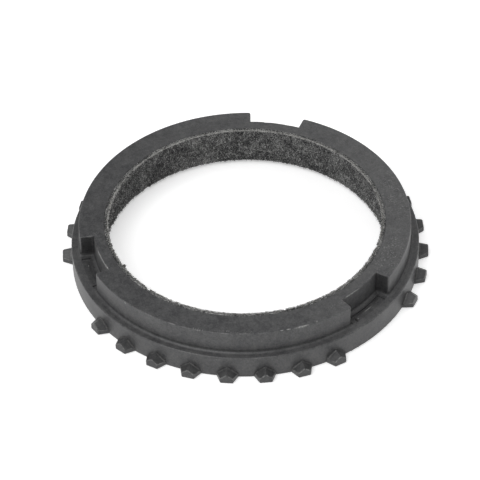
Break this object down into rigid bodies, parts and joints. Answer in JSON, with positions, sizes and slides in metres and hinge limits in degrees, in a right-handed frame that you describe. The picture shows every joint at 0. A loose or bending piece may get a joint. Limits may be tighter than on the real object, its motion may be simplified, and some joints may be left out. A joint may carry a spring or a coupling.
{
  "type": "synchronizer ring",
  "caption": "Steel blocker ring for a manual gearbox synchronizer, with pointed blocking teeth, key notches in its collar and a bonded fibrous friction lining in its cone.",
  "frame": {"origin": "on the ring's axis, in the plane of the toothed lower face", "axes": "+Z along the ring's axis from the toothed flange to the collar, +Y through the middle of one key notch"},
  "size_m": [0.0834, 0.0816, 0.0112],
  "materials": {
    "ring_steel": "phosphated steel, dark grey satin",
    "lining_fibre": "matt carbon and aramid fibre, speckled"
  },
  "bodies": {
    "root": {"blocker_ring": "ring_steel", "friction_lining": "lining_fibre"}
  },
  "joints": []
}
